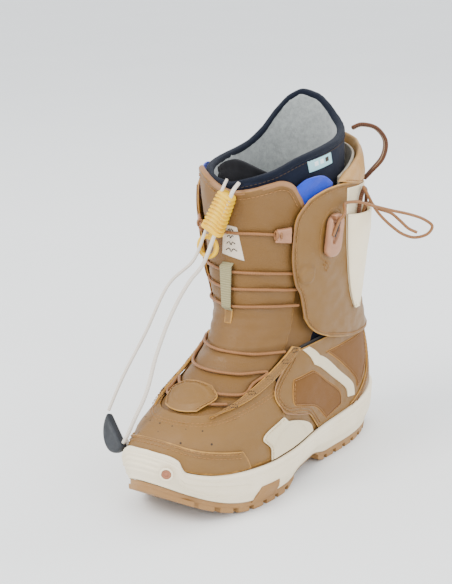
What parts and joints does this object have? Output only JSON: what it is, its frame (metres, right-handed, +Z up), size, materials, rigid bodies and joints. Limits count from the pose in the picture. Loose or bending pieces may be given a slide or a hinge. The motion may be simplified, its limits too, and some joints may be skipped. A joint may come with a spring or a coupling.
{
  "type": "snowboard boot",
  "caption": "Tan leather snowboard boot with lugged rubber sole, cream midsole, zig-zag lacing with side locks, padded collar and a removable fleece liner with its own cord lock.",
  "frame": {"origin": "middle of the boot's box on the floor under the lugs, measured without the free cords", "axes": "+Z up the shaft, -Y towards the toe, +X towards the outer side of the foot; this is a left boot"},
  "size_m": [0.1648, 0.2913, 0.2897],
  "materials": {
    "leather": "smooth tan leather, fine grain, semi matt",
    "tongue_leather": "smooth tan leather, padded",
    "collar_leather": "soft tan leather, padded",
    "suede": "brushed suede",
    "cream_leather": "coated cream leather",
    "brown_rubber": "gum rubber, matt",
    "cream_rubber": "moulded rubber, matt",
    "badge": "moulded, two colours",
    "shell_lining": "felt and foam",
    "liner_fabric": "navy knit outside, grey fleece inside",
    "liner_binding": "woven binding tape",
    "liner_padding": "padded black fabric",
    "fleece": "short pile fleece",
    "board": "pressed fibre board",
    "shank_steel": "plain",
    "blue_fabric": "woven, satin",
    "lock_plastic": "moulded, satin",
    "dark_plastic": "moulded, satin",
    "cream_fabric": "brushed lining",
    "label": "woven label with plain line pattern",
    "pale_label": "woven label, plain blocks",
    "webbing": "ribbed webbing",
    "brown_webbing": "ribbed webbing",
    "lace": "coated braided lace",
    "cream_cord": "braided cord",
    "yellow_plastic": "moulded, satin"
  },
  "bodies": {
    "foot": {"outsole": "brown_rubber", "midsole": "cream_rubber", "toe_badge": "badge", "inner_shell": "shell_lining", "liner_foot": "liner_fabric", "lasting_board": "board", "shank": "shank_steel", "footbed": "fleece", "toe_cap": "leather", "vamp": "leather", "vamp_patch": "leather", "quarter_outer": "leather", "quarter_inner": "leather", "eyestay_outer": "leather", "eyestay_inner": "leather", "forefoot_patch_outer": "cream_leather", "forefoot_patch_inner": "cream_leather", "ankle_stripe_outer": "cream_leather", "ankle_stripe_inner": "cream_leather", "front_suede_outer": "suede", "front_suede_inner": "suede", "rear_suede_outer": "suede", "rear_suede_inner": "suede", "heel_counter": "leather", "tongue_lower": "tongue_leather", "tongue_bend": "tongue_leather", "liner_bend": "liner_fabric", "lace_lower": "lace", "liner_handle": "dark_plastic"},
    "cuff": {"cuff_quarter_outer": "leather", "cuff_quarter_inner": "leather", "stow_pocket_outer": "cream_leather", "stow_pocket_inner": "cream_leather", "harness_outer": "blue_fabric", "harness_inner": "blue_fabric", "upper_guide_outer": "lock_plastic", "upper_guide_inner": "lock_plastic", "lace_lock_outer": "lock_plastic", "lace_lock_inner": "lock_plastic", "cuff_lining": "shell_lining", "backstay": "leather", "collar": "collar_leather", "collar_lining": "cream_fabric", "tongue_upper": "tongue_leather", "tongue_label": "label", "lace_keeper": "webbing", "lace_upper": "lace", "liner_cuff": "liner_fabric", "liner_binding": "liner_binding", "liner_tongue": "liner_padding", "liner_label": "pale_label", "pull_loop": "brown_webbing", "free_lace": "lace", "lace_tail": "lace", "stow_handle": "brown_webbing", "liner_cord_thin": "cream_cord", "liner_cord_thick": "cream_cord"},
    "cleat_outer": {"lock_cleat_outer": "dark_plastic"},
    "cleat_inner": {"lock_cleat_inner": "dark_plastic"},
    "liner_lock": {"liner_lock": "yellow_plastic"}
  },
  "joints": [
    {"name": "ankle_flex", "type": "hinge", "parent": "foot", "child": "cuff", "pos_m": [0, 0.0429, 0.095], "axis": [1, 0, 0], "range_deg": [0, 10], "stiffness_Nm_per_rad": 25, "deforming": ["tongue_bend", "liner_bend", "liner_cord_thin", "liner_cord_thick"]},
    {"name": "cleat_release_outer", "type": "slide", "parent": "cuff", "child": "cleat_outer", "axis": [0.1547, 0.3657, 0.9178], "range_m": [0, 0.004], "stiffness_N_per_m": 200},
    {"name": "cleat_release_inner", "type": "slide", "parent": "cuff", "child": "cleat_inner", "axis": [-0.1547, 0.3657, 0.9178], "range_m": [0, 0.004], "stiffness_N_per_m": 200},
    {"name": "liner_lock_slide", "type": "slide", "parent": "cuff", "child": "liner_lock", "axis": [-0.4189, 0, -0.908], "range_m": [0, 0.009]}
  ]
}
